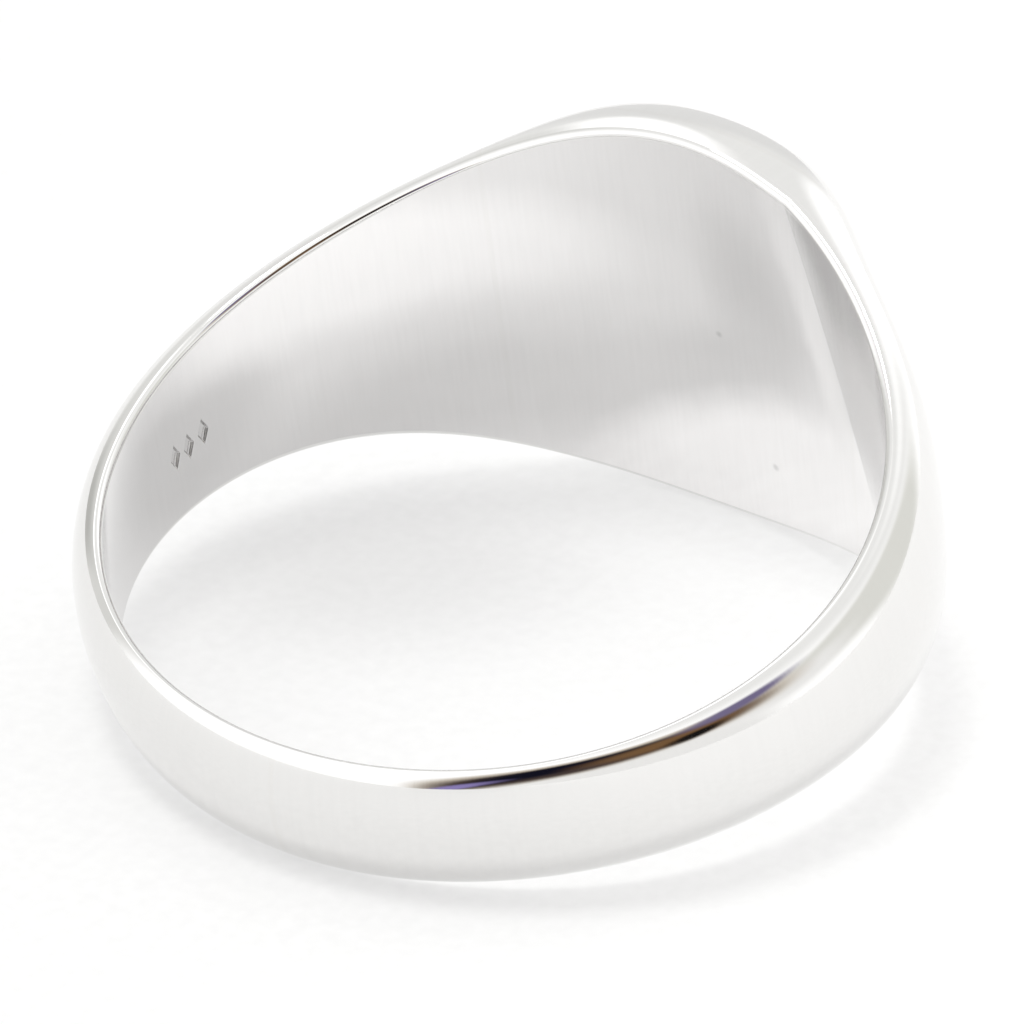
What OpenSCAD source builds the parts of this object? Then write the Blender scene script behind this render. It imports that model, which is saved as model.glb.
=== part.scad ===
// Signet ring: a tapered D-section shank, closed at the back by a sizing seam and soldered
// at both ends to a wide head that carries a flat oval signet plate.
// Millimetres. The ring lies on its side: +Z is up from the surface it lies on, +X points to
// the signet, and the origin is under the middle of the ring on that surface.

/* [Finger opening] */
// Inside diameter of the finger opening
bore_d = 19; // [16:0.5:22]
// How far the flattened underside of the head stands inside the round opening
relief_t = 0.2; // [0.12:0.02:0.24]
// Angle from the middle of the head to each crease of the flattened underside
crease_a = 22; // [18:1:25]

/* [Head] */
// Width of the head along the finger
head_w = 11.9; // [10:0.1:13]
// Thickness of the head at the middle, from the round opening to the signet face
head_t = 1.58; // [1.5:0.02:1.8]
// Fullness of the head before its face is filed flat
bulge_t = 2.7; // [2.5:0.05:2.9]
// Thickness of the signet plate
plate_t = 0.9; // [0.8:0.05:1]
// Angle from the middle of the head to each head seam
seam_a = 32; // [31:0.5:35]

/* [Shank] */
// Width of the shank at the back
back_w = 3.6; // [3:0.1:4.5]
// Thickness of the shank at the back
back_t = 0.72; // [0.66:0.02:1.1]
// Thickness of the shank at its sides
side_t = 1.22; // [1.1:0.02:1.4]

/* [Solder] */
// Thickness of each solder seam
seam_w = 0.14; // [0.1:0.01:0.2]

/* [Punched mark] */
// Angle round the ring from the head to the middle of the mark
mark_a = 87; // [80:1:100]
// Height of the plain punched lozenges
mark_h = 0.8; // [0.6:0.05:0.9]
// Depth of the punched lozenges
mark_t = 0.1; // [0.04:0.01:0.12]
// Height of the mark's middle above the middle of the opening wall
mark_z = -0.35; // [-0.6:0.05:0.6]

/* [Hidden] */
$fn = 96;

r = bore_d / 2;
face_x = r + head_t;                       // plane of the signet face
film_x = face_x - plate_t;                 // top of the solder film under the plate
base_x = film_x - seam_w;                  // seat of the plate
seam_d = seam_w / r * 180 / PI;            // angle a seam takes at the opening
sec_n = 14;                                // facets round half a section

// taper of the strip: 1 at the middle of the head, 0 at the back
function lift(a) = (1 + cos(a)) / 2;
function half_w(a) = back_w / 2 + (head_w - back_w) / 2 * (pow(lift(a), 8) + pow(lift(a), 2)) / 2;
function ease(t) = let (u = min(max(t, 0), 1)) u * u * (3 - 2 * u);
function thick(a) = back_t + (side_t - back_t) * ease((150 - abs(a)) / 65)
                    + (bulge_t - side_t) * exp(-pow(abs(a) / 25, 3.3));
// squareness of the section: a plain D at the back, fuller at the head
function power(a) = 2.05 + 1.05 * pow(lift(a), 3);

// outside points of the section at one angle, from one rim over the crown to the other
function crown(a) = [for (i = [1 : sec_n - 1])
    let (q = 180 * i / sec_n, e = 2 / power(a), s = cos(q) < 0 ? -1 : 1)
    [r + thick(a) * pow(sin(q), e), s * half_w(a) * pow(abs(cos(q)), e)]];
// closed section, from the inside radius ri outwards
function section(a, ri) = concat([[ri, half_w(a)]], crown(a), [[ri, -half_w(a)]]);

// resting pose: the head's lower rim and the back's lower rim touch the surface
lean = atan((head_w - back_w) / 2 / bore_d);
function posed(p) = [p[0] * cos(lean) - p[2] * sin(lean), p[1],
                     p[0] * sin(lean) + p[2] * cos(lean)];
skin = [for (a = [-180 : 3 : 177])
    for (s = concat([[r, half_w(a)], [r, -half_w(a)]], crown(a)))
    posed([min(s[0] * cos(a), face_x), s[0] * sin(a), s[1]])];
low_z = min([for (p = skin) p[2]]);
mid_x = (min([for (p = skin) p[0]]) + max([for (p = skin) p[0]])) / 2;

module place() {
    translate([-mid_x, 0, -low_z]) rotate([0, -lean, 0]) children();
}

// solid bar swept round the finger from angle a0 to a1 in n steps, outwards from radius ri
module bar(a0, a1, n, ri) {
    m = sec_n + 1;
    pts = [for (k = [0 : n]) let (a = a0 + (a1 - a0) * k / n)
           for (s = section(a, ri)) [s[0] * cos(a), s[0] * sin(a), s[1]]];
    sides = [for (k = [0 : n - 1]) for (j = [0 : m - 1])
             let (b = k * m + j, c = k * m + (j + 1) % m)
             for (t = [0, 1]) t == 0 ? [b, c + m, c] : [b, b + m, c + m]];
    polyhedron(points = pts,
               faces = concat([[for (j = [0 : m - 1]) j]], sides,
                              [[for (j = [m - 1 : -1 : 0]) n * m + j]]),
               convexity = 6);
}

module bore() {
    cylinder(h = 4 * head_w, r = r, center = true);
}

// opening under the head: the round bore, flattened between the two creases
module head_bore() {
    a = r * sin(crease_a);
    s = r - relief_t - r * cos(crease_a);
    arc_r = (a * a + s * s) / (2 * s);
    intersection() {
        bore();
        translate([r - relief_t - arc_r, 0, 0])
            cylinder(h = 4 * head_w, r = arc_r, center = true);
    }
}

module head_form() {
    difference() {
        bar(-seam_a, seam_a, 21, 0.96 * r);
        head_bore();
    }
}

// keeps what lies between two planes square to the face
module slab(x0, x1) {
    intersection() {
        head_form();
        translate([x0, -2 * r, -head_w]) cube([x1 - x0, 4 * r, 2 * head_w]);
    }
}

module signet_plate() {
    color([0.86, 0.86, 0.87]) place() slab(film_x, face_x);
}

module plate_seam() {
    color([0.78, 0.78, 0.76]) place() slab(base_x, film_x);
}

module head_base() {
    color([0.84, 0.84, 0.85]) place() slab(0, base_x);
}

// solder wafer: too thin for its inside face to need a curve
module wafer(a0) {
    place() bar(a0, a0 + seam_d, 1, r);
}

module head_seam_left() {
    color([0.78, 0.78, 0.76]) wafer(seam_a);
}

module head_seam_right() {
    color([0.78, 0.78, 0.76]) wafer(-seam_a - seam_d);
}

module shank(a0, a1) {
    difference() {
        bar(a0, a1, 24, 0.97 * r);
        bore();
    }
}

// three plain lozenges punched in a row on the inside wall
module mark() {
    for (k = [-1 : 1])
        rotate([0, 0, mark_a + k * 3.4])
            translate([r - 1, 0, mark_z]) rotate([0, 90, 0]) linear_extrude(height = 1 + mark_t)
                    polygon([[mark_h / 2, 0], [0, mark_h / 4], [-mark_h / 2, 0], [0, -mark_h / 4]]);
}

module shank_left() {
    color([0.85, 0.85, 0.86]) place() difference() {
        shank(seam_a + seam_d, 180 - seam_d / 2);
        mark();
    }
}

module shank_right() {
    color([0.85, 0.85, 0.86]) place() shank(-180 + seam_d / 2, -seam_a - seam_d);
}

module sizing_seam() {
    color([0.78, 0.78, 0.76]) wafer(180 - seam_d / 2);
}

signet_plate();
plate_seam();
head_base();
head_seam_left();
head_seam_right();
shank_left();
shank_right();
sizing_seam();
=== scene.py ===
import math

import bpy
import numpy as np
from mathutils import Matrix, Vector


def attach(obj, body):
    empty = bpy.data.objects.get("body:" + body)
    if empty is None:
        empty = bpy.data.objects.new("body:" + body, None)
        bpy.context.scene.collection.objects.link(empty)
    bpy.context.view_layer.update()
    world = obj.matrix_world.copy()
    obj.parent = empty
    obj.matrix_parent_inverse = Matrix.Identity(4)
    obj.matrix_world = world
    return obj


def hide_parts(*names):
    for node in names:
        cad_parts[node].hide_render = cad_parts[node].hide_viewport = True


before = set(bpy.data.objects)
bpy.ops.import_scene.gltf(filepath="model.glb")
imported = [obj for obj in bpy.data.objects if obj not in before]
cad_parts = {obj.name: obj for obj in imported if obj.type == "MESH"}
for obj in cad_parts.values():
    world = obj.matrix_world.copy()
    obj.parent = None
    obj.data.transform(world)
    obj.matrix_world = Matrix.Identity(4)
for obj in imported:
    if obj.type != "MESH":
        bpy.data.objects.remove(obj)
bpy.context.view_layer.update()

# ---------------------------------------------------------------- the ring's form, in mm
# The form of the CAD part. Angle a is measured round the finger opening from the head, in degrees.
R = 9.5                      # finger opening
HEAD_W, BACK_W = 11.9, 3.6   # width along the finger
BACK_T, SIDE_T, BULGE_T, HEAD_T = 0.72, 1.22, 2.7, 1.58
FACE_X = R + HEAD_T          # the signet face
PLATE_T, SEAM_W, SEAM_A = 0.9, 0.14, 32.0
FILM_X, BASE_X = FACE_X - PLATE_T, FACE_X - PLATE_T - SEAM_W
SEAM_D = math.degrees(SEAM_W / R)
EDGE = 0.19                  # worn rounding between rim and opening
SOFT = 0.34                  # worn rounding round the signet face
LEAN = math.atan((HEAD_W - BACK_W) / 2 / (2 * R))
BACK_FLAT, BACK_BLEND = 150, 65          # the shank is thinnest past the first, thickening over the second
BULGE_A, BULGE_POWER = 25, 3.3           # spread of the shoulders' extra thickness
CREASE_MID, CREASE_SLOPE = -31.5, 12.0   # the sharp end of the filed underside, which leans across the wall
FILED_D, FILED_IN = 0.20, 7.0            # depth of the filed underside, and the angle it sinks over
FILED_END, FILED_OUT = 62, 48            # where it has blended out, and over what angle
MARK_A, MARK_H, MARK_T, MARK_Z = 87.0, 0.8, 0.095, -0.35   # punched lozenges: place, height, depth, middle
MARKS = ((-3.5, MARK_Z + 0.02), (0.0, MARK_Z - 0.03), (3.4, MARK_Z + 0.03))   # turn in degrees, z
MARK_LIP, MARK_WALL = 1.12, 0.42         # edge and wall of a lozenge, in its own half sizes
MARK_NEAR = 9                            # no lozenge reaches further than this from MARK_A
TINY, ANGLE_TOL = 1e-12, 1e-9


def lift(a):
    return (1 + np.cos(np.radians(a))) / 2


def half_w(a):
    return BACK_W / 2 + (HEAD_W - BACK_W) / 2 * (lift(a) ** 8 + lift(a) ** 2) / 2


def ease(t):
    t = np.clip(t, 0, 1)
    return t * t * (3 - 2 * t)


def wrap(a):
    return (np.asarray(a, float) + 180) % 360 - 180


def thick(a):
    b = np.abs(wrap(a))
    side = BACK_T + (SIDE_T - BACK_T) * ease((BACK_FLAT - b) / BACK_BLEND)
    return side + (BULGE_T - SIDE_T) * np.exp(-(b / BULGE_A) ** BULGE_POWER)


def squareness(a):
    """Exponent of the section: 1 is an ellipse, less is squarer."""
    return 2 / (2.05 + 1.05 * lift(a) ** 3)


def crease(w):
    """Angle of the underside's sharp end, with w from the lower rim (-1) to the upper (1)."""
    return CREASE_MID + CREASE_SLOPE * w


def relief(a, w):
    """How far the filed underside is cut in: sharp at the crease, blended out on the other side."""
    s = wrap(a) - crease(w)
    rise = FILED_D * (1 - np.exp(-np.maximum(s, 0) / FILED_IN))
    return np.where(s > 0, rise * ease((FILED_END - s) / FILED_OUT), 0.0)


def mark(a, z):
    """Depth of the three plain punched lozenges."""
    out = np.zeros(np.broadcast(a, z).shape)
    for turn, up in MARKS:
        u = (wrap(a) - MARK_A - turn) * math.pi / 180 * R
        d = np.abs(u) / (MARK_H / 4) + np.abs(z - up) / (MARK_H / 2)
        out = out + MARK_T * ease((MARK_LIP - d) / MARK_WALL)
    return out


def inner_r(a, w, z):
    near = np.abs(wrap(a) - MARK_A) < MARK_NEAR
    return R - relief(a, w) + np.where(near, mark(a, z), 0.0)


# One closed line round the section, as a number s: 0-1 opening wall, 1-2 upper edge rounding,
# 2-3 crown from the upper rim to the lower rim, 3-4 lower edge rounding.
def surface(a, s):
    """Points in the ring's own frame (Z along the finger, X to the head) for arrays a (degrees) and s."""
    a, s = np.broadcast_arrays(np.asarray(a, float), np.asarray(s, float))
    h, t, e = half_w(a), thick(a), squareness(a)
    q0 = np.arcsin(np.clip((EDGE / t) ** (1 / e), 0, 1))
    z0 = h * np.cos(q0) ** e
    zt = z0 - EDGE
    # wall of the opening
    w = np.clip(s, 0, 1) * 2 - 1
    zw = zt * w
    rw = inner_r(a, w, zw)
    # edge roundings
    b1 = np.clip(s - 1, 0, 1) * math.pi / 2
    re = inner_r(a, 1.0, zt) + EDGE - EDGE * np.cos(b1)
    ze = zt + EDGE * np.sin(b1)
    b2 = (1 - np.clip(s - 3, 0, 1)) * math.pi / 2
    rf = inner_r(a, -1.0, -zt) + EDGE - EDGE * np.cos(b2)
    zf = -(zt + EDGE * np.sin(b2))
    # crown
    q = q0 + (math.pi - 2 * q0) * np.clip(s - 2, 0, 1)
    c = np.cos(q)
    rc = R + t * np.abs(np.sin(q)) ** e
    zc = h * np.sign(c) * np.abs(c) ** e
    rho = np.where(s <= 1, rw, np.where(s <= 2, re, np.where(s <= 3, rc, rf)))
    z = np.where(s <= 1, zw, np.where(s <= 2, ze, np.where(s <= 3, zc, zf)))
    x = rho * np.cos(np.radians(a))
    y = rho * np.sin(np.radians(a))
    d = np.maximum(SOFT - np.abs(x - FACE_X), 0)
    x = np.where((s > 2) & (s < 3), np.minimum(x, FACE_X) - d * d / (4 * SOFT), x)
    return np.stack([x, y, z], -1)


def normal(a, s):
    """Outward unit normals, from small steps along a and s."""
    da, ds = 0.004, 0.00002
    u = surface(a + da, s) - surface(a - da, s)
    v = surface(a, s + ds) - surface(a, s - ds)
    n = np.cross(v, u)
    n /= np.maximum(np.linalg.norm(n, axis=-1, keepdims=True), TINY)
    return n


# ---------------------------------------------------------------- meshes
def leaned(v):
    """Turns points or directions from the ring's own frame to the way it lies."""
    c, s = math.cos(LEAN), math.sin(LEAN)
    x, y, z = v[..., 0], v[..., 1], v[..., 2]
    return np.stack([x * c - z * s, y, x * s + z * c], -1)


def rest_box():
    """Middle in x, bottom and half height of the leaning ring, found as the CAD part finds them."""
    a = np.arange(-180, 180, 3.0)[:, None]
    q = np.radians(180 * np.arange(1, 14) / 14)[None]
    e, h, bore = squareness(a), half_w(a), np.full_like(a, R)
    rho = np.concatenate([bore, bore, R + thick(a) * np.sin(q) ** e], 1)
    z = np.concatenate([h, -h, h * np.sign(np.cos(q)) * np.abs(np.cos(q)) ** e], 1)
    x = np.minimum(rho * np.cos(np.radians(a)), FACE_X)
    p = leaned(np.stack([x, rho * np.sin(np.radians(a)), z], -1))
    low, high = p[..., 2].min(), p[..., 2].max()
    return (p[..., 0].min() + p[..., 0].max()) / 2, low, (high - low) / 2


MID_X, Z_LOW, HALF_Z = rest_box()
FIT = 0.998                  # brings the true curve just inside the CAD part's short flats
WELD = 4e-8                  # corners closer than this are one, in metres
CORNER_IN = 0.03             # how far inside a face its corners' normals are taken
UV_TURN, UV_ALONG = 60, 10   # degrees round and mm along the finger per unit of the "arc" UV map
WALL_HALF = 2.3              # half the wall's width at the lozenges, in mm
HEAD_LEAN_END, HEAD_KNOT = -6, 8   # the head's rows stand upright past this angle; the row on the crease
RIM = 0.010                  # strip of the crown along each rim, in s, in which leaning rows straighten
WALL_END = -140              # beyond this the wall counts as the other side's


def placed(p):
    """Points in the ring's own frame to metres in the shared frame."""
    c = np.array([0, 0, HALF_Z])
    p = leaned(p) - np.array([MID_X, 0, Z_LOW])
    return (c + (p - c) * FIT) / 1000


class Builder:
    """Collects faces with the (a, s) of every corner, so that each corner gets the true surface normal."""

    def __init__(self):
        self.pos, self.par, self.faces = [], [], []

    def grid(self, a, s):
        """A sheet of quads over arrays a, s of one shape. Each quad is marked 0 outside, 1 on the
        opening's wall or 2 on the wall beyond the sharp crease."""
        base = len(self.pos)
        self.pos.extend(surface(a, s).reshape(-1, 3))
        self.par.extend(np.stack([a, s], -1).reshape(-1, 2))
        n, m = a.shape
        ids = base + np.arange(n * m).reshape(n, m)
        for i in range(n - 1):
            for j in range(m - 1):
                f = (ids[i, j], ids[i, j + 1], ids[i + 1, j + 1], ids[i + 1, j])
                wall = 0
                if s[i, j] + s[i, j + 1] < 2.0001:
                    w = s[i, j] + s[i, j + 1] - 1
                    mid = wrap((a[i, j] + a[i + 1, j] + a[i + 1, j + 1] + a[i, j + 1]) / 4)
                    wall = 2 if WALL_END < mid < crease(w) else 1
                self.faces.append((f, True, wall))

    def plain(self, pts, quads):
        """Flat faces inside the joints."""
        base = len(self.pos)
        self.pos.extend(pts)
        self.par.extend([(0.0, 0.0)] * len(pts))
        for q in quads:
            self.faces.append((tuple(base + k for k in q), False, 0))

    def make(self, name, outside, inside):
        """The finished object, with materials for the outside and for both parts of the wall."""
        raw, par = np.array(self.pos), np.array(self.par)
        pos = placed(raw)
        _, first, weld = np.unique(np.round(pos / WELD).astype(np.int64), axis=0,
                                   return_index=True, return_inverse=True)
        weld = weld.ravel()
        faces, corner, smooth, wall = [], [], [], []
        seen = set()
        for face, is_smooth, on_wall in self.faces:
            welded, own = [], []
            for k in face:
                v = int(weld[k])
                if v not in welded:
                    welded.append(v)
                    own.append(int(k))
            if len(welded) < 3 or frozenset(welded) in seen:
                continue
            seen.add(frozenset(welded))
            faces.append(welded)
            corner.append(own)
            smooth.append(is_smooth)
            wall.append(on_wall)
        me = bpy.data.meshes.new(name)
        me.from_pydata([tuple(map(float, p)) for p in pos[first]], [], faces)
        for m in (outside, *inside):
            me.materials.append(m)
        # normals: the true surface's on smooth faces, the face's own on flat ones
        counts = np.array([len(f) for f in faces])
        vi = np.concatenate([np.array(o) for o in corner])
        face_of = np.repeat(np.arange(len(faces)), counts)
        starts = np.r_[0, np.cumsum(counts)[:-1]]
        mid = np.add.reduceat(par[vi], starts, axis=0) / counts[:, None]
        at = par[vi] + CORNER_IN * (mid[face_of] - par[vi])
        true = leaned(normal(at[:, 0], at[:, 1]))
        flat = np.empty(len(faces) * 3)
        me.polygons.foreach_get("normal", flat)
        flat = np.repeat(flat.reshape(-1, 3), counts, axis=0)
        loops = np.where(np.array(smooth)[face_of][:, None], true, flat)
        me.polygons.foreach_set("use_smooth", np.ones(len(faces), bool))
        # an edge between a smooth and a flat face is sharp
        kind = {}
        for f, sm in zip(faces, smooth):
            for p, q in zip(f, f[1:] + f[:1]):
                kind.setdefault((min(p, q), max(p, q)), set()).add(sm)
        for e in me.edges:
            e.use_edge_sharp = len(kind[tuple(sorted(e.vertices))]) > 1
        me.polygons.foreach_set("material_index", np.array(wall, np.int32))
        uv = me.uv_layers.new(name="arc")
        arc = np.stack([par[vi, 0] / UV_TURN, raw[vi, 2] / UV_ALONG], -1)
        uv.data.foreach_set("uv", arc.astype(np.float32).ravel())
        me.update()
        me.normals_split_custom_set([tuple(map(float, v)) for v in loops])
        ob = bpy.data.objects.new(name, me)
        bpy.context.scene.collection.objects.link(ob)
        return ob


def loop_s(n_wall, n_crown, for_marks=False):
    """The s of the corners on the wall, the upper edge, the crown and the lower edge. for_marks gathers
    the wall's corners round the punched lozenges."""
    w = np.linspace(-1, 1, n_wall + 1)
    if for_marks:
        w = MARK_Z / WALL_HALF * (1 - w * w) + 0.35 * w + 0.65 * w ** 3
    e = np.linspace(0, 1, 8)
    return (w + 1) / 2, 1 + e, 2 + np.linspace(0, 1, n_crown + 1), 3 + e


def rows(angles, s, lean=None):
    """Parameter arrays of a sheet, one row per angle.

    lean = (lo, knot, hi): between lo and hi the rows lean with the sharp crease, so that it lies
    along the row at knot, or is pushed against lo or hi where it is in the next piece.
    """
    aa, ss = np.meshgrid(angles, s, indexing="ij")
    if lean is None:
        return aa, ss
    lo, knot, hi = lean
    part = (angles >= lo - ANGLE_TOL) & (angles <= hi + ANGLE_TOL)
    for j, v in enumerate(s):
        w = np.clip(v, 0, 1) * 2 - 1 if v <= 2 else 1 - 2 * np.clip(v - 2, 0, 1)
        c = float(np.clip(crease(w), lo, hi))
        aa[part, j] = np.interp(angles[part], [lo, knot, hi], [lo, c, hi])
    return aa, ss


def cap(b, a, s, flip):
    """Closes the end of a bar at angle a with a fan of flat faces."""
    pts = list(surface(np.full(len(s), a), s))
    mid = np.mean(pts, axis=0)
    n = len(pts)
    quads = [((k + 1) % n, k, n) if flip else (k, (k + 1) % n, n) for k in range(n)]
    b.plain(pts + [mid], quads)


def bar(name, angles, outside, inside, n_wall=34, n_crown=84, for_marks=False, lean=None):
    """A length of shank with closed ends."""
    b = Builder()
    parts = loop_s(n_wall, n_crown, for_marks)
    for s in parts:
        b.grid(*rows(angles, s, lean))
    ring = np.concatenate([p[:-1] for p in parts])
    cap(b, angles[0], ring, True)
    cap(b, angles[-1], ring, False)
    return b.make(name, outside, inside)


def cut_s(a, x_cut):
    """The two s on the crown at angle a where the surface crosses the plane x = x_cut."""
    s = np.linspace(2, 3, 801)
    x = surface(np.full_like(s, a), s)[:, 0]
    over = np.where(x > x_cut)[0]
    if len(over) == 0:
        return 2.5, 2.5
    i, j = over[0], over[-1]
    s1 = s[i - 1] + (x_cut - x[i - 1]) / (x[i] - x[i - 1]) * (s[i] - s[i - 1])
    s2 = s[j] + (x_cut - x[j]) / (x[j + 1] - x[j]) * (s[j + 1] - s[j])
    return s1, s2


def cut_angle(x_cut):
    """Half the angle over which the head reaches past the plane."""
    lo, hi = 5.0, SEAM_A
    for _ in range(40):
        m = (lo + hi) / 2
        if surface(m, 2.5)[0] > x_cut:
            lo = m
        else:
            hi = m
    return lo


def outline(x_cut, n=56):
    """Where the plane x = x_cut cuts the head: angles, and the lower and higher s at each."""
    a = cut_angle(x_cut) * np.sin(np.linspace(-math.pi / 2, math.pi / 2, 2 * n + 1))
    ss = np.array([cut_s(v, x_cut) for v in a])
    ss[0] = ss[-1] = 2.5
    return a, ss[:, 0], ss[:, 1]


def plate_piece(name, outside, inside):
    """The signet plate: everything beyond the solder film."""
    b = Builder()
    a, s1, s2 = outline(FILM_X)
    t = 0.5 - 0.5 * np.cos(math.pi * np.linspace(0, 1, 97))
    b.grid(np.repeat(a[:, None], len(t), 1), s1[:, None] + (s2 - s1)[:, None] * t[None])
    lo, hi = surface(a, s1), surface(a, s2)
    n = len(a)
    b.plain(list(lo) + list(hi), [(k, k + 1, n + k + 1, n + k) for k in range(n - 1)])
    return b.make(name, outside, inside)


def film_piece(name, outside, inside):
    """The solder film under the plate."""
    b = Builder()
    cuts = [outline(BASE_X + (FILM_X - BASE_X) * k / 3) for k in range(4)]
    aa = np.array([c[0] for c in cuts]).T
    b.grid(aa, np.array([c[1] for c in cuts]).T)
    b.grid(aa[:, ::-1], np.array([c[2] for c in cuts]).T[:, ::-1])
    for r, top in ((cuts[0], False), (cuts[-1], True)):
        lo, hi = surface(r[0], r[1]), surface(r[0], r[2])
        n = len(lo)
        quads = [(k, k + 1, n + k + 1, n + k) for k in range(n - 1)]
        b.plain(list(lo) + list(hi), [q[::-1] for q in quads] if top else quads)
    return b.make(name, outside, inside)


def head_piece(name, outside, inside):
    """The head under the film, between the two head seams."""
    b = Builder()
    am = cut_angle(BASE_X)
    core = am * np.sin(np.linspace(-math.pi / 2, math.pi / 2, 113))
    side = np.linspace(am, SEAM_A, 11)[1:]
    a = np.concatenate([-side[::-1], core, side])
    upright = core[np.argmin(np.abs(core - HEAD_LEAN_END))]
    lean = (float(a[0]), float(a[HEAD_KNOT]), float(upright))
    wall, up, _, down = loop_s(56, 8)
    for s in (wall, up, down):
        b.grid(*rows(a, s, lean))
    s1, s2 = np.array([cut_s(v, BASE_X) for v in a]).T
    s1[np.abs(a) >= am - 1e-6] = 2.5
    s2[np.abs(a) >= am - 1e-6] = 2.5
    # the crown on either side of the flat cut, each in a rim strip and the rest
    a_up, a_down = rows(a, [2.0], lean)[0], rows(a, [3.0], lean)[0]
    mid, t, strip = a[:, None], np.linspace(0, 1, 41)[None], np.linspace(0, 1, 5)[None]
    b.grid(a_up + (mid - a_up) * strip, 2 + RIM * strip + 0 * mid)
    b.grid(mid + 0 * t, 2 + RIM + (s1[:, None] - 2 - RIM) * t)
    b.grid(mid + 0 * t, s2[:, None] + (3 - RIM - s2[:, None]) * t)
    b.grid(mid + (a_down - mid) * strip, 3 - RIM + RIM * strip + 0 * mid)
    lo, hi = surface(a, s1), surface(a, s2)
    n = len(a)
    b.plain(list(lo) + list(hi), [(k + 1, k, n + k, n + k + 1) for k in range(n - 1)])
    near = 2 + RIM * strip[0]
    half = 2 + RIM + (0.5 - RIM) * t[0]
    crown = np.concatenate([near[:-1], half[:-1], (5 - half)[::-1][:-1], (5 - near)[::-1][:-1]])
    ring = np.concatenate([wall[:-1], up[:-1], crown, down[:-1]])
    cap(b, a[0], ring, True)
    cap(b, a[-1], ring, False)
    return b.make(name, outside, inside)


# ---------------------------------------------------------------- materials
def new_material(name):
    m = bpy.data.materials.new(name)
    m.use_nodes = True
    nt = m.node_tree
    nt.nodes.clear()
    out = nt.nodes.new("ShaderNodeOutputMaterial")
    shader = nt.nodes.new("ShaderNodeBsdfPrincipled")
    nt.links.new(shader.outputs[0], out.inputs[0])
    return m, nt, shader


def add(nt, kind, inputs=(), **settings):
    """A new node. inputs is a dict of socket to value or to the output it is linked from."""
    n = nt.nodes.new(kind)
    for key, value in settings.items():
        setattr(n, key, value)
    for key, value in dict(inputs).items():
        if isinstance(value, bpy.types.NodeSocket):
            nt.links.new(value, n.inputs[key])
        else:
            n.inputs[key].default_value = value
    return n


def noise(nt, where, scale, detail, **more):
    return add(nt, "ShaderNodeTexNoise", {"Vector": where, "Scale": scale, "Detail": detail, **more})


def remap(nt, value, lo, hi, to_lo, to_hi, smooth=True):
    return add(nt, "ShaderNodeMapRange", {0: value, 1: lo, 2: hi, 3: to_lo, 4: to_hi},
               interpolation_type="SMOOTHSTEP" if smooth else "LINEAR").outputs[0]


def multiply(nt, colour, by):
    return add(nt, "ShaderNodeMix", {0: 1.0, 6: colour, 7: by},
               data_type="RGBA", blend_type="MULTIPLY").outputs[2]


def ramp(nt, value, stops):
    r = nt.nodes.new("ShaderNodeValToRGB")
    elements = r.color_ramp.elements
    while len(elements) < len(stops):
        elements.new(0.5)
    for e, (place, colour) in zip(elements, stops):
        e.position = place
        e.color = (*colour, 1)
    nt.links.new(value, r.inputs[0])
    return r.outputs[0]


def spot_frame(nt, where, place, turn, size):
    """where, as seen from a turned spot with its middle at place: 1 from the middle is its edge."""
    return add(nt, "ShaderNodeMapping", {"Vector": where, "Location": place,
                                         "Rotation": (0, 0, math.radians(turn)),
                                         "Scale": size}, vector_type="TEXTURE").outputs[0]


def length(nt, vector):
    return add(nt, "ShaderNodeVectorMath", {0: vector}, operation="LENGTH").outputs["Value"]


# Painted reflections: darker and brighter patches painted into the colour of the satin wall of the opening.
# They stand in for soft reflections of the floor's shading, so they stay in place in every view. The units
# are those of the "arc" UV map, about 1 cm: x round the opening from the head's middle, y along the
# finger.
PAINTED_REFLECTIONS_HEAD = (
    # x, y, half length, half width, turn in degrees, softness, tone
    (0.60, -0.25, 0.80, 0.17, -3, 0.7, 0.735),
    (-0.19, 0.15, 0.12, 0.24, -16, 0.8, 0.725),
    (-0.02, -0.09, 0.36, 0.10, -33, 0.8, 0.735),
    (1.96, 0.00, 0.32, 0.50, 0, 0.5, 0.85),
    (1.48, -0.02, 0.30, 0.22, 0, 0.5, 0.715),
    (0.87, 0.21, 0.66, 0.165, 2, 0.45, 1.02),
    (-0.24, -0.35, 0.64, 0.20, -22, 0.35, 1.02),
    (-0.395, 0.22, 0.05, 0.36, -20, 0.7, 0.96),
)
# The same painted reflections beyond the sharp crease, where the whole wall is also painted darker as shade
PAINTED_REFLECTIONS_SHANK = (
    (-0.44, 0.42, 0.30, 0.22, 0, 0.6, 0.75),
    (-0.72, -0.36, 0.16, 0.26, -30, 0.5, 1.0),
)
HEAD_TONE, SHANK_PAINTED_SHADE_TONE = 0.87, 0.775      # the walls' tones outside the painted reflections; the shank's lower one is painted shade
WOBBLE, WOBBLE_SCALE = 0.10, 3.0         # how far and how often the painted reflections' edges wander
LOZENGE_TONE = 0.93                           # darker tone inside the punched lozenges
PIT_SCALE, PIT_TONE = 260.0, 0.80        # tiny pits: cells per metre, tone


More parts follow.
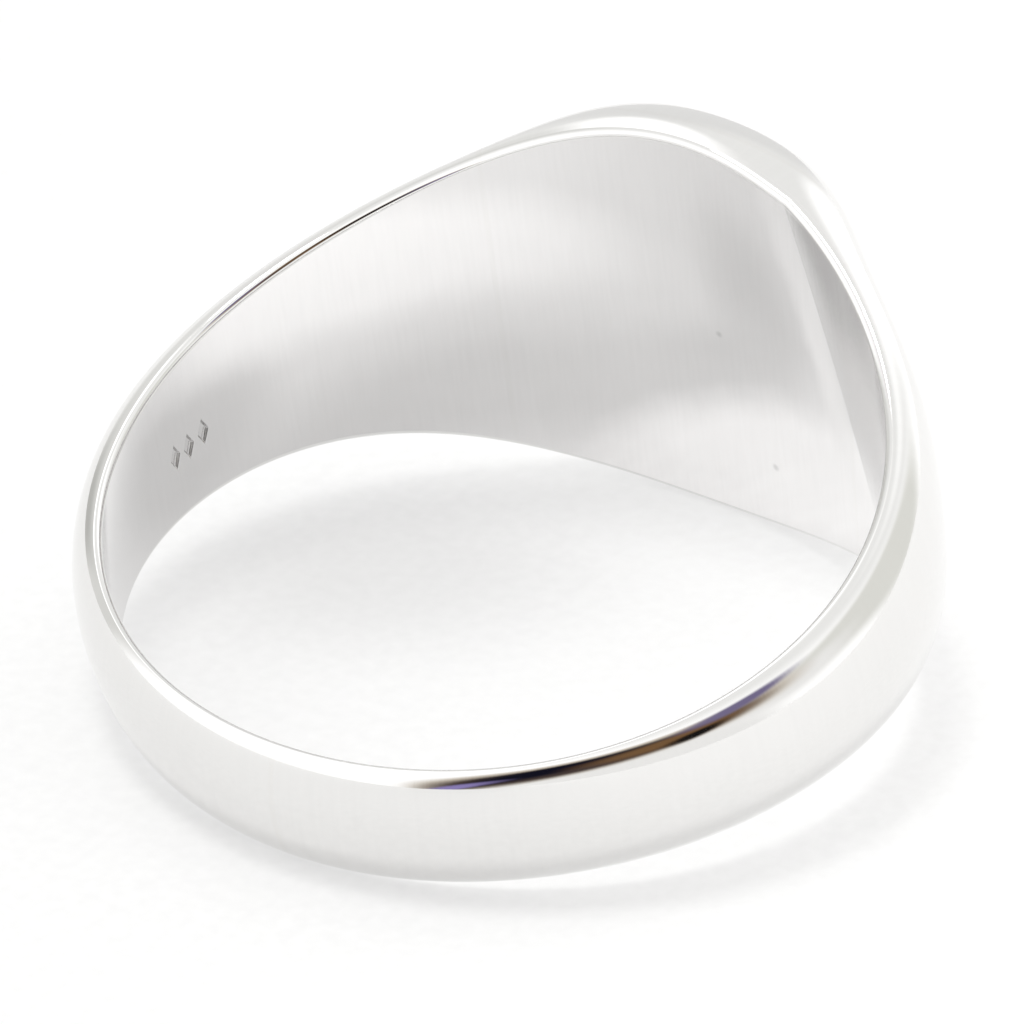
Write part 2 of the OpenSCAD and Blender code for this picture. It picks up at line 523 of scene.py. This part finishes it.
def wall_tone_and_painted_reflections(nt, colour, uv, where, painted_reflections, base):
    """colour with the painted reflections, a darker tone inside the lozenges and a few tiny pits."""
    wander = noise(nt, uv, WOBBLE_SCALE, 3.0).outputs[1]
    moved = add(nt, "ShaderNodeVectorMath", {0: wander, 1: (WOBBLE, WOBBLE, 0), 2: uv},
                operation="MULTIPLY_ADD").outputs[0]
    level = base
    # painted reflections: each patch paints a darker or brighter tone into the wall's colour
    for x, y, half_x, half_y, turn, soft, tone in painted_reflections:
        place = (x + WOBBLE / 2, y + WOBBLE / 2, 0)
        edge = length(nt, spot_frame(nt, moved, place, turn, (half_x, half_y, 1)))
        inside = remap(nt, edge, 1 - soft, 1 + soft, 1, 0)
        level = add(nt, "ShaderNodeMix", {0: inside, 2: level, 3: tone}, data_type="FLOAT").outputs[0]
    colour = multiply(nt, colour, level)
    # a darker tone inside the punched lozenges
    for turn, up in MARKS:
        place = ((MARK_A + turn) / UV_TURN, up / UV_ALONG, 0)
        size = (MARK_H / 4 / math.radians(R) / UV_TURN, MARK_H / 2 / UV_ALONG, 1)
        near = add(nt, "ShaderNodeVectorMath", {0: spot_frame(nt, uv, place, 0, size)}, operation="ABSOLUTE")
        edge = add(nt, "ShaderNodeVectorMath", {0: near.outputs[0], 1: (1, 1, 0)}, operation="DOT_PRODUCT")
        colour = multiply(nt, colour, remap(nt, edge.outputs["Value"], 0.75, 1.10, LOZENGE_TONE, 1))
    pit = add(nt, "ShaderNodeTexVoronoi", {"Vector": where, "Scale": PIT_SCALE}).outputs["Distance"]
    return multiply(nt, colour, ramp(nt, pit, [(0.012, (PIT_TONE,) * 3), (0.034, (1, 1, 1))]))


def silver(name, tint, rough, scuff, streak, lines_per_unit, bump, tone, painted_reflections=(), base=1.0):
    """Sterling silver. tint is its colour and tone the darkest share of it; scuff the spread of
    roughness; streak the strength of the hand-sanding lines, which run along the finger, and
    lines_per_unit how close they lie; bump their height in metres."""
    m, nt, shader = new_material(name)
    where = add(nt, "ShaderNodeTexCoord").outputs["Object"]
    uv = add(nt, "ShaderNodeUVMap", uv_map="arc").outputs[0]
    drawn_out = (lines_per_unit, lines_per_unit * 0.045, 1)
    along = add(nt, "ShaderNodeMapping", {"Vector": uv, "Scale": drawn_out}).outputs[0]
    lines = noise(nt, along, 1.0, 6.0, Roughness=0.65).outputs[0]
    slow = noise(nt, where, 260.0, 3.0).outputs[0]
    fine = noise(nt, where, 2600.0, 4.0).outputs[0]
    colour = multiply(nt, ramp(nt, slow, [(0.3, tuple(c * tone for c in tint)), (0.7, tint)]),
                      ramp(nt, lines, [(0.32, (1 - streak,) * 3), (0.62, (1, 1, 1))]))
    # painted reflections and painted shade on the wall of the opening
    if painted_reflections:
        colour = wall_tone_and_painted_reflections(nt, colour, uv, where, painted_reflections, base)
    dull = remap(nt, slow, 0.3, 0.7, rough - scuff, rough + scuff, smooth=False)
    faint = add(nt, "ShaderNodeMath", {0: fine, 1: 0.35}, operation="MULTIPLY").outputs[0]
    height = add(nt, "ShaderNodeMath", {0: lines, 1: faint}, operation="ADD").outputs[0]
    relief_normal = add(nt, "ShaderNodeBump",
                        {"Strength": 1.0, "Distance": bump, "Height": height}).outputs[0]
    for key, value in (("Base Color", colour), ("Roughness", dull), ("Normal", relief_normal)):
        nt.links.new(value, shader.inputs[key])
    shader.inputs["Metallic"].default_value = 1.0
    shader.inputs["IOR"].default_value = 1.5
    return m


def satin_pair_with_painted_reflections(name, tint, rough):
    """Satin finishes for the wall on the head's side of the sharp crease and beyond it, both with painted
    reflections; the wall beyond the crease is also painted darker as shade.
    """
    return (silver(name + "_head", tint, rough, 0.04, 0.02, 90, 1.2e-6, 0.975, PAINTED_REFLECTIONS_HEAD, HEAD_TONE),
            silver(name + "_shank", tint, rough + 0.03, 0.04, 0.03, 90, 1.4e-6, 0.975,
                   PAINTED_REFLECTIONS_SHANK, SHANK_PAINTED_SHADE_TONE))


POLISH = silver("polished_silver", (0.83, 0.825, 0.815), 0.065, 0.025, 0.012, 55, 0.5e-6, 0.985)
SOLDER = silver("flush_solder", (0.825, 0.818, 0.805), 0.085, 0.03, 0.015, 55, 0.8e-6, 0.98)
# the walls' satin finishes, with painted reflections, and the shank's side painted darker as shade
SATIN_AND_PAINTED_REFLECTIONS = satin_pair_with_painted_reflections("satin_silver_painted_reflections", (0.98, 0.97, 0.965), 0.13)
SOLDER_IN_AND_PAINTED_REFLECTIONS = satin_pair_with_painted_reflections("solder_inside_painted_reflections", (0.97, 0.96, 0.952), 0.14)


# ---------------------------------------------------------------- pieces
def span(a0, a1, step):
    return np.linspace(a0, a1, max(2, int(round((a1 - a0) / step)) + 1))


SHANK_A, BACK_A = SEAM_A + SEAM_D, 180 - SEAM_D / 2      # where a shank half starts and ends
left = np.concatenate([span(SHANK_A, 81, 1.0)[:-1], span(81, 93.2, 0.1)[:-1],      # finer at the lozenges
                       span(93.2, 93.4, 0.2)[:-1], span(93.4, BACK_A, 1.0)])
right = span(-BACK_A, -SHANK_A, 0.8)
right_lean = (right[-26], right[-6], right[-1])
seam_left = span(SEAM_A, SHANK_A, 0.4)
seam_right = np.linspace(-SHANK_A, -SEAM_A, 3)
seam_back = span(BACK_A, 180 + SEAM_D / 2, 0.4)

pieces = [
    (plate_piece("signet_plate_polished", POLISH, SATIN_AND_PAINTED_REFLECTIONS), "signet_plate", "plate_silver"),
    (film_piece("plate_solder_line", SOLDER, SOLDER_IN_AND_PAINTED_REFLECTIONS), "plate_seam", "solder"),
    (head_piece("head_base_polished", POLISH, SATIN_AND_PAINTED_REFLECTIONS), "head_base", "head_silver"),
    (bar("head_solder_left", seam_left, SOLDER, SOLDER_IN_AND_PAINTED_REFLECTIONS), "head_seam_left", "solder"),
    (bar("head_solder_right", seam_right, SOLDER, SOLDER_IN_AND_PAINTED_REFLECTIONS, lean=tuple(seam_right)),
     "head_seam_right", "solder"),
    (bar("shank_left_polished", left, POLISH, SATIN_AND_PAINTED_REFLECTIONS, n_wall=64, for_marks=True),
     "shank_left", "shank_silver"),
    (bar("shank_right_polished", right, POLISH, SATIN_AND_PAINTED_REFLECTIONS, lean=right_lean), "shank_right", "shank_silver"),
    (bar("sizing_solder_line", seam_back, SOLDER, SOLDER_IN_AND_PAINTED_REFLECTIONS), "sizing_seam", "solder"),
]
for ob, node, slot in pieces:
    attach(ob, "root")
    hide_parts(node)


# ---------------------------------------------------------------- floor, light and camera
FLOOR_R, FLOOR_SIDES, FLOOR_DROP = 1.2, 96, 0.00002      # metres
PAINTED_LIGHT_SIDE = (0.53, -0.85, 0)           # the side the floor is painted brighter to (painted light), as a direction
FALLOFF = 0.014                          # half the width of the change, in metres
SIDE_GLOW = (0.455, 0.548)               # the floor's own light on either side; the higher value is painted light
PAINTED_SHADOW_PATCH = ((0.0022, 0.0050, 0), -54, (0.0052, 0.0040, 1))     # the painted shadow's middle, turn, half axes in metres
PAINTED_SHADOW_DEPTH = 0.085                             # how much less light the painted shadow gives
GRAIN_SCALE, GRAIN = 2500.0, 0.03        # paper grain: per metre, share of the light


def floor():
    """A pale floor that gives off some of its light, as a light tent's does: painted a little brighter to
    one side (painted light), with a painted soft shadow inside the ring and a fine paper grain."""
    m, nt, shader = new_material("studio_floor")
    where = add(nt, "ShaderNodeTexCoord").outputs["Object"]
    across = add(nt, "ShaderNodeVectorMath", {0: where, 1: PAINTED_LIGHT_SIDE},
                 operation="DOT_PRODUCT").outputs["Value"]
    # painted light: the floor glows more to one side
    glow = remap(nt, across, -FALLOFF, FALLOFF, *SIDE_GLOW)
    # painted shadow: a soft grey patch inside the ring
    painted_shadow = remap(nt, length(nt, spot_frame(nt, where, *PAINTED_SHADOW_PATCH)), 0.2, 1.4, PAINTED_SHADOW_DEPTH, 0)
    glow = add(nt, "ShaderNodeMath", {0: glow, 1: painted_shadow}, operation="SUBTRACT").outputs[0]
    grain = remap(nt, noise(nt, where, GRAIN_SCALE, 3.0).outputs[0], 0.3, 0.7,
                  1 - GRAIN, 1 + GRAIN, smooth=False)
    glow = add(nt, "ShaderNodeMath", {0: glow, 1: grain}, operation="MULTIPLY").outputs[0]
    nt.links.new(glow, shader.inputs["Emission Strength"])
    for key, value in (("Base Color", (0.44, 0.44, 0.44, 1)), ("Roughness", 0.7), ("Specular IOR Level", 0.1),
                       ("Emission Color", (1, 1, 1, 1))):
        shader.inputs[key].default_value = value
    turns = [2 * math.pi * k / FLOOR_SIDES for k in range(FLOOR_SIDES)]
    pts = [(0, 0, 0)] + [(FLOOR_R * math.cos(t), FLOOR_R * math.sin(t), 0) for t in turns]
    me = bpy.data.meshes.new("studio_floor")
    me.from_pydata(pts, [], [(0, 1 + k, 1 + (k + 1) % FLOOR_SIDES) for k in range(FLOOR_SIDES)])
    me.materials.append(m)
    ob = bpy.data.objects.new("studio_floor", me)
    bpy.context.scene.collection.objects.link(ob)
    ob.location.z = -FLOOR_DROP


# A white light tent all round, with the dark opening the camera looks in through and some greyer
# panels. A panel's place and size are in degrees on a map with the zenith in the middle: x towards
# the head's side of the ring, y across it, and 90 from the middle at the horizon.
TENT_LIGHT = 1.28
PANELS = (
    # x, y, half length, half width, turn, softness, colour
    (30, 22, 62, 56, 40, 0.30, (0.98, 0.98, 0.97)),
    (12, 80, 36, 30, 75, 0.35, (0.80, 0.80, 0.78)),
    (26, 85, 22, 11, 55, 0.60, (0.56, 0.56, 0.54)),
    (72, 38, 34, 30, 0, 0.25, (0.87, 0.87, 0.865)),
    (24, 27, 26, 8, 62, 0.30, (1.6, 1.6, 1.6)),
    (62, -10, 34, 10, 4, 0.50, (1.4, 1.4, 1.4)),
    (38, -53, 48, 19, 12, 0.30, (0.84, 0.84, 0.80)),
    (-42, -76, 64, 17, -30, 0.40, (0.99, 0.985, 0.975)),
    (2, -69, 26, 13, 0, 0.50, (0.99, 0.985, 0.975)),
    (-45, -39, 56, 19, -27, 0.22, (0.66, 0.59, 0.50)),
    (-49, -40, 47, 14.5, -27, 0.30, (0.07, 0.05, 0.045)),
    (-52, -34, 24, 9, -12, 0.45, (0.007, 0.007, 0.016)),
    (-28, -52, 20, 9, -25, 0.6, (0.20, 0.11, 0.05)),
    (-9, -44, 12, 9, 0, 0.5, (0.20, 0.17, 0.30)),
    (-25, -60, 8, 6, 0, 0.5, (0.007, 0.006, 0.006)),
    (-84, -24, 16, 4, -27, 0.6, (0.30, 0.25, 0.55)),
    (-6, 9, 9, 8, 30, 0.30, (14.0, 14.0, 13.8)),
)


def tent():
    w = bpy.data.worlds.new("light_tent")
    bpy.context.scene.world = w
    w.use_nodes = True
    nt = w.node_tree
    nt.nodes.clear()

    def maths(operation, *values):
        return add(nt, "ShaderNodeMath", dict(enumerate(values)), operation=operation).outputs[0]

    direction = add(nt, "ShaderNodeTexCoord").outputs["Generated"]
    x, y, z = add(nt, "ShaderNodeSeparateXYZ", {0: direction}).outputs
    flat = maths("SQRT", maths("MAXIMUM",
                               maths("ADD", maths("MULTIPLY", x, x), maths("MULTIPLY", y, y)), 1e-9))
    far = maths("DIVIDE", maths("MULTIPLY", maths("ARCCOSINE", z), 180 / math.pi), flat)
    at = add(nt, "ShaderNodeCombineXYZ",
             {0: maths("MULTIPLY", x, far), 1: maths("MULTIPLY", y, far)}).outputs[0]
    light = (TENT_LIGHT, TENT_LIGHT, TENT_LIGHT, 1)
    for px, py, half_x, half_y, turn, soft, colour in PANELS:
        edge = length(nt, spot_frame(nt, at, (px, py, 0), turn, (half_x, half_y, 1)))
        inside = remap(nt, edge, 1 - soft, 1 + soft, 1, 0)
        light = add(nt, "ShaderNodeMix", {0: inside, 6: light, 7: (*colour, 1)}, data_type="RGBA").outputs[2]
    bg = add(nt, "ShaderNodeBackground", {0: light, 1: 1.0}).outputs[0]
    add(nt, "ShaderNodeOutputWorld", {0: bg})


# The photograph's camera, solved from the opening's rims and the outline
AZ, EL, ROLL = -58.022, 30.127, -0.69    # degrees
AIM, DIST = Vector((0.0000317, 0.0003452, 0.0043614)), 0.219646
LENS, SENSOR = 319.75, 36                # mm


def camera():
    az, el = math.radians(AZ), math.radians(EL)
    back = Vector((math.sin(az) * math.cos(el), -math.cos(az) * math.cos(el), math.sin(el)))
    cam = bpy.data.cameras.new("camera")
    cam.sensor_width, cam.lens = SENSOR, LENS
    cam.clip_start, cam.clip_end = 0.005, 10
    ob = bpy.data.objects.new("camera", cam)
    bpy.context.scene.collection.objects.link(ob)
    ob.location = AIM + back * DIST
    facing = (-back).to_track_quat("-Z", "Y").to_matrix()
    ob.rotation_euler = (facing @ Matrix.Rotation(math.radians(-ROLL), 3, "Z")).to_euler()
    bpy.context.scene.camera = ob


floor()
tent()
camera()
bpy.context.scene.view_settings.view_transform = "Standard"
bpy.context.scene.view_settings.look = "None"
